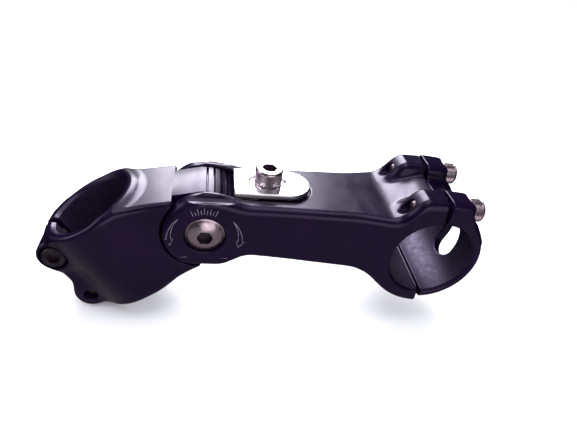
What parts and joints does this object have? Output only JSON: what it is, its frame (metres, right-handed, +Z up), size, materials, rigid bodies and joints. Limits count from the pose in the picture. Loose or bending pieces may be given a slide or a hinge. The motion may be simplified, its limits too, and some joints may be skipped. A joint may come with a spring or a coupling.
{
  "type": "adjustable handlebar stem",
  "caption": "Adjustable-angle threadless handlebar stem: split steerer clamp, toothed tilt joint with screw-down lock wedge, extension arm and handlebar clamp with a bolted front cap.",
  "frame": {"origin": "centre of the steerer bore, on its axis, halfway up the clamp", "axes": "+X along the extension arm towards the handlebar, +Y across the stem along the handlebar axis, +Z up from the arm's top; the steerer axis leans back by 32 degrees in the rest pose"},
  "size_m": [0.1626, 0.038, 0.06],
  "materials": {
    "black_paint": "semi-gloss black paint on forged aluminium, with a violet cast",
    "fastener_steel": "satin stainless steel",
    "wedge_zinc": "bright zinc-plated steel, lightly polished",
    "bush_bronze": "plain turned bronze",
    "washer_nylon": "natural nylon"
  },
  "bodies": {
    "steerer_clamp": {"steerer_clamp": "black_paint", "pivot_bushing": "bush_bronze"},
    "pinch_washer_upper": {"pinch_washer_upper": "fastener_steel"},
    "pinch_bolt_upper": {"pinch_bolt_upper": "fastener_steel"},
    "pinch_washer_lower": {"pinch_washer_lower": "fastener_steel"},
    "pinch_bolt_lower": {"pinch_bolt_lower": "fastener_steel"},
    "arm": {"extension_arm": "black_paint", "pivot_nut": "fastener_steel", "thrust_washer_near": "washer_nylon", "thrust_washer_far": "washer_nylon", "lock_thread_insert": "fastener_steel", "clamp_insert_near": "fastener_steel", "clamp_insert_far": "fastener_steel"},
    "pivot_bolt": {"pivot_bolt": "fastener_steel"},
    "lock_wedge": {"lock_wedge": "wedge_zinc"},
    "lock_bolt_washer": {"lock_bolt_washer": "fastener_steel"},
    "lock_bolt": {"lock_bolt": "fastener_steel"},
    "bar_clamp_cap": {"bar_clamp_cap": "black_paint", "clamp_washer_near": "fastener_steel", "clamp_washer_far": "fastener_steel"},
    "clamp_bolt_near": {"clamp_bolt_near": "fastener_steel"},
    "clamp_bolt_far": {"clamp_bolt_far": "fastener_steel"}
  },
  "joints": [
    {"name": "arm_tilt", "type": "hinge", "parent": "steerer_clamp", "child": "arm", "pos_m": [0.03148, 0, 0.01378], "axis": [0, -1, 0], "range_deg": [-30, 40]},
    {"name": "lock_bolt_lift", "type": "slide", "parent": "arm", "child": "lock_bolt_washer", "axis": [0, 0, -1], "range_m": [-0.001, 0.00106]},
    {"name": "lock_bolt_turn", "type": "hinge", "parent": "lock_bolt_washer", "child": "lock_bolt", "pos_m": [0.05318, 0, 0.02838], "axis": [0, 0, -1], "range_deg": [-361, 382.5]},
    {"name": "wedge_slide", "type": "slide", "parent": "arm", "child": "lock_wedge", "axis": [-0.7071, 0, -0.7071], "range_m": [-0.00142, 0.00151]},
    {"name": "cap_slide", "type": "slide", "parent": "arm", "child": "bar_clamp_cap", "axis": [1, 0, 0], "range_m": [0, 0.012]},
    {"name": "clamp_bolt_near_turn", "type": "hinge", "parent": "bar_clamp_cap", "child": "clamp_bolt_near", "pos_m": [0.12598, -0.0131, 0.02948], "axis": [1, 0, 0], "range_deg": [0, 5401]},
    {"name": "clamp_bolt_far_turn", "type": "hinge", "parent": "bar_clamp_cap", "child": "clamp_bolt_far", "pos_m": [0.12598, 0.0131, 0.02948], "axis": [1, 0, 0], "range_deg": [0, 5401]},
    {"name": "pivot_bolt_turn", "type": "hinge", "parent": "arm", "child": "pivot_bolt", "pos_m": [0.03148, 0, 0.01378], "axis": [0, -1, 0], "range_deg": [0, 180]},
    {"name": "pinch_bolt_upper_lift", "type": "slide", "parent": "steerer_clamp", "child": "pinch_washer_upper", "axis": [0, -1, 0], "range_m": [0, 0.0088]},
    {"name": "pinch_bolt_upper_turn", "type": "hinge", "parent": "pinch_washer_upper", "child": "pinch_bolt_upper", "pos_m": [-0.02035, -0.0078, -0.00045], "axis": [0, -1, 0], "range_deg": [0, 3961]},
    {"name": "pinch_bolt_lower_lift", "type": "slide", "parent": "steerer_clamp", "child": "pinch_washer_lower", "axis": [0, 1, 0], "range_m": [0, 0.0088]},
    {"name": "pinch_bolt_lower_turn", "type": "hinge", "parent": "pinch_washer_lower", "child": "pinch_bolt_lower", "pos_m": [-0.00933, 0.0078, -0.01809], "axis": [0, 1, 0], "range_deg": [0, 3961]}
  ],
  "couplings": [
    {"joint": "lock_bolt_turn", "follows": "lock_bolt_lift", "rad_per_m": 6283.2},
    {"joint": "wedge_slide", "follows": "lock_bolt_lift", "ratio": 1.4142},
    {"joint": "clamp_bolt_near_turn", "follows": "cap_slide", "rad_per_m": 7854},
    {"joint": "clamp_bolt_far_turn", "follows": "cap_slide", "rad_per_m": 7854},
    {"joint": "pinch_bolt_upper_turn", "follows": "pinch_bolt_upper_lift", "rad_per_m": 7854},
    {"joint": "pinch_bolt_lower_turn", "follows": "pinch_bolt_lower_lift", "rad_per_m": 7854}
  ]
}
